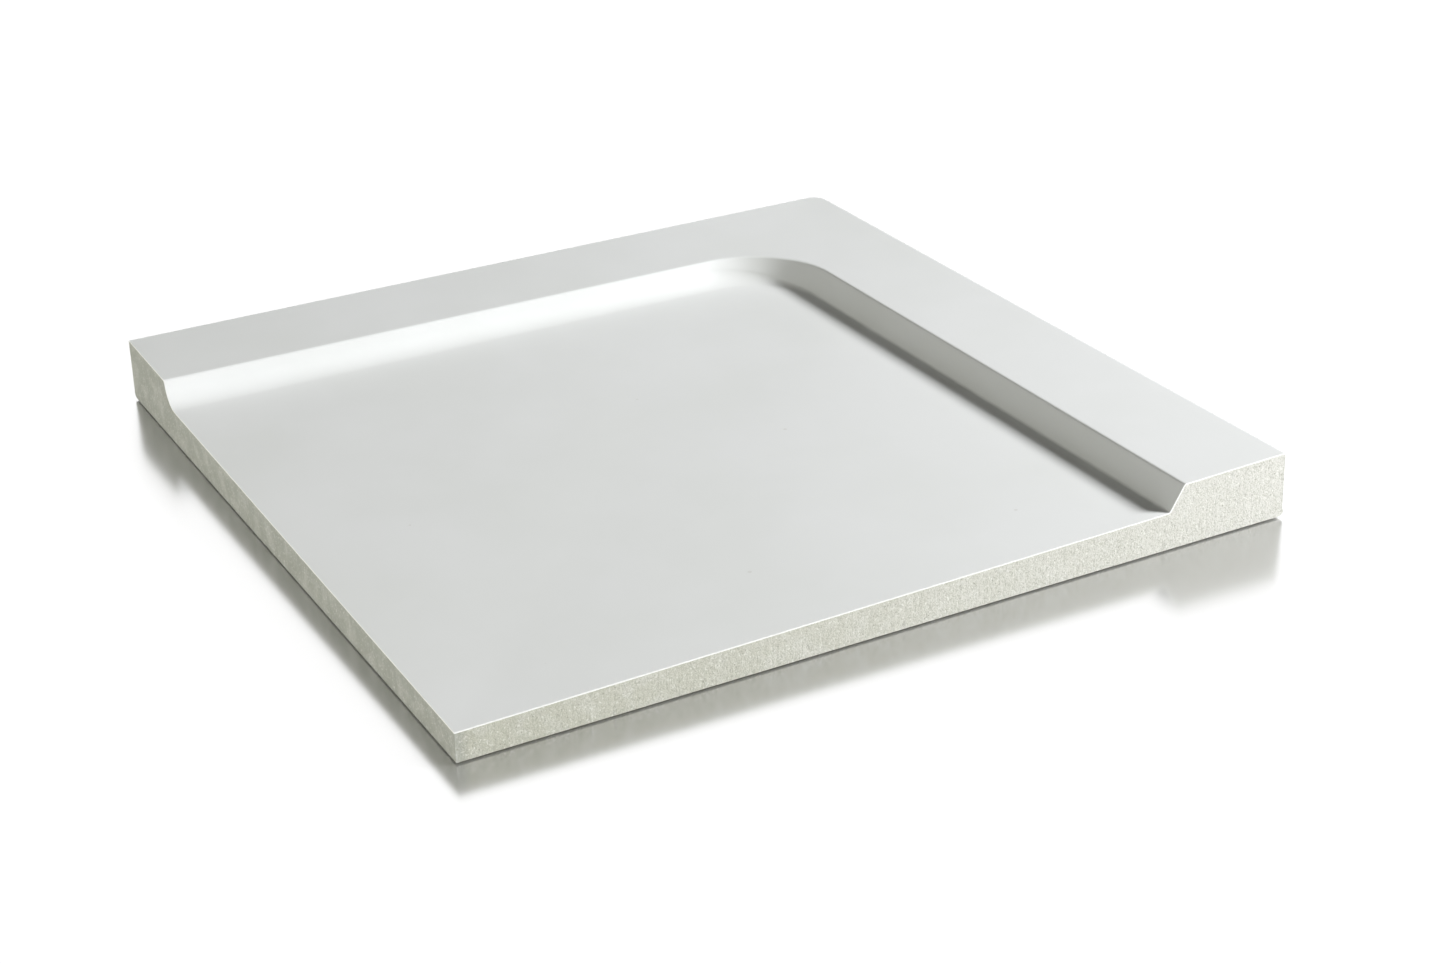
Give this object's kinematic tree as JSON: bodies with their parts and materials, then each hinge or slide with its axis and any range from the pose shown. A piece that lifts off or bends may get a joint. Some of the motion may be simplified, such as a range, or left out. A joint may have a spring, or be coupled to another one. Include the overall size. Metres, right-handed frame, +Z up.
{
  "type": "shower tray corner section",
  "caption": "Square corner section of a low shower tray, sawn open to show white gelcoat over a cast stone-resin core, with a falling floor and raised rims.",
  "frame": {"origin": "middle of the footprint, on the flat underside", "axes": "+Z up out of the rim, +X towards the right moulded rim, +Y towards the back moulded rim; the sawn faces are the -X and -Y sides"},
  "size_m": [0.4999, 0.4999, 0.04],
  "materials": {
    "stone_resin": "sawn, fine granular",
    "gelcoat": "satin"
  },
  "bodies": {
    "root": {"stone_resin_core": "stone_resin", "gelcoat_skin": "gelcoat"}
  },
  "joints": []
}
